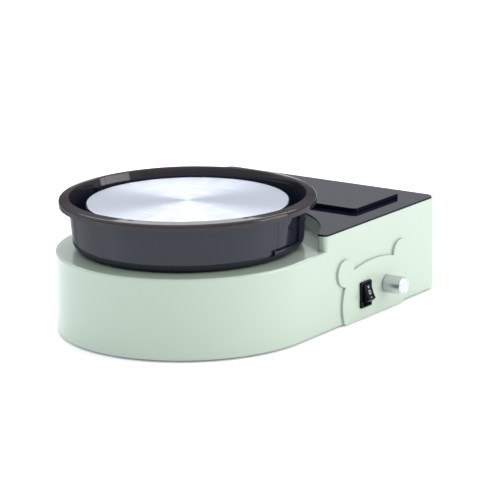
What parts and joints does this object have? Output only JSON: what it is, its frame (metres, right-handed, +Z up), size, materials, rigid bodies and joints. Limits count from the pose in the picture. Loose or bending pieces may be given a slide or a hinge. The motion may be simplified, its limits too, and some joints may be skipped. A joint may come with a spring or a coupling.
{
  "type": "pottery wheel",
  "caption": "Table-top pottery wheel: belt-driven aluminium head in a two-part splash pan, drum-shaped body, rear block with lidded compartment, speed knob and rocker switch.",
  "frame": {"origin": "bottom centre of the whole object's box, on the table", "axes": "+Y from the user's side (round drum) to the rear block, +X towards the control panel, +Z up along the wheel axis; the wheel axis stands at x = -0.0092 m, y = -0.0471 m"},
  "size_m": [0.2266, 0.3022, 0.1067],
  "materials": {
    "mint_abs": "satin moulded mint-green ABS",
    "black_gloss": "high-gloss black sheet",
    "smoke_pan": "glossy smoke-black moulded plastic",
    "black_plastic": "fine matt black moulded plastic",
    "turned_aluminium": "lathe-turned in fine concentric rings",
    "cast_aluminium": "as-cast, machined seats",
    "knob_aluminium": "turned and satin anodised",
    "zinc_steel": "zinc-plated sheet and screws",
    "bearing_steel": "ground and polished",
    "rubber": "matt moulded rubber",
    "belt_rubber": "ground flat belt",
    "magnet": "dark sintered ferrite",
    "circuit_board": "green solder mask",
    "component_black": "moulded component bodies",
    "brass": "tinned or plain brass contacts",
    "wire_red": "PVC-insulated leads"
  },
  "bodies": {
    "body": {"body_shell": "mint_abs", "deck_panel": "black_gloss", "tool_tray": "black_plastic", "base_plate": "zinc_steel", "base_screws": "zinc_steel", "rubber_feet": "rubber", "frame_plate": "zinc_steel", "frame_pillars": "zinc_steel", "frame_screws": "zinc_steel", "bearing_housing": "cast_aluminium", "housing_screws": "zinc_steel", "bearing_outer_rings": "bearing_steel", "bearing_balls": "bearing_steel", "drive_belt": "belt_rubber", "motor_can": "zinc_steel", "motor_end_cap": "black_plastic", "motor_magnets": "magnet", "motor_screws": "zinc_steel", "control_panel": "mint_abs", "switch_housing": "black_plastic", "switch_terminals": "brass", "pot_body": "zinc_steel", "pot_nut": "zinc_steel", "power_inlet": "black_plastic", "power_inlet_pin": "brass", "power_inlet_nut": "zinc_steel", "controller_board": "circuit_board", "board_posts": "black_plastic", "board_components": "component_black", "heat_sink": "cast_aluminium", "wiring_harness": "wire_red"},
    "wheel": {"wheel_head": "turned_aluminium", "wheel_hub": "cast_aluminium", "hub_screws": "zinc_steel", "hub_set_screw": "zinc_steel", "spindle": "bearing_steel", "spindle_spacer": "zinc_steel", "spindle_circlip": "bearing_steel", "driven_pulley": "cast_aluminium", "bearing_inner_rings": "bearing_steel"},
    "motor": {"motor_shaft": "bearing_steel", "motor_rotor": "zinc_steel", "motor_pulley": "cast_aluminium", "motor_pulley_screw": "zinc_steel"},
    "pan_front_half": {"pan_front": "smoke_pan"},
    "pan_rear_half": {"pan_rear": "smoke_pan"},
    "lid": {"tray_lid": "black_gloss"},
    "knob": {"speed_knob": "knob_aluminium", "knob_set_screw": "zinc_steel", "pot_shaft": "bearing_steel"},
    "rocker": {"switch_rocker": "black_plastic"}
  },
  "joints": [
    {"name": "wheel_spin", "type": "hinge", "parent": "body", "child": "wheel", "pos_m": [-0.00925, -0.0471, 0], "axis": [0, 0, 1], "continuous": true},
    {"name": "motor_spin", "type": "hinge", "parent": "body", "child": "motor", "pos_m": [-0.00925, 0.0879, 0], "axis": [0, 0, 1], "continuous": true},
    {"name": "knob_turn", "type": "hinge", "parent": "body", "child": "knob", "pos_m": [0.09675, 0.0726, 0.0219], "axis": [-1, 0, 0], "range_deg": [0, 300]},
    {"name": "switch_rock", "type": "hinge", "parent": "body", "child": "rocker", "pos_m": [0.09475, 0.0412, 0.0205], "axis": [0, 1, 0], "range_deg": [0, 40]},
    {"name": "pan_front_pull", "type": "slide", "parent": "body", "child": "pan_front_half", "axis": [-0.0924, -0.9957, 0], "range_m": [0, 0.2]},
    {"name": "pan_rear_lift", "type": "slide", "parent": "body", "child": "pan_rear_half", "axis": [0, 0, 1], "range_m": [0, 0.0165]},
    {"name": "lid_lift", "type": "slide", "parent": "body", "child": "lid", "axis": [0, 0, 1], "range_m": [0, 0.06]}
  ],
  "couplings": [
    {"joint": "motor_spin", "follows": "wheel_spin", "ratio": 6}
  ]
}
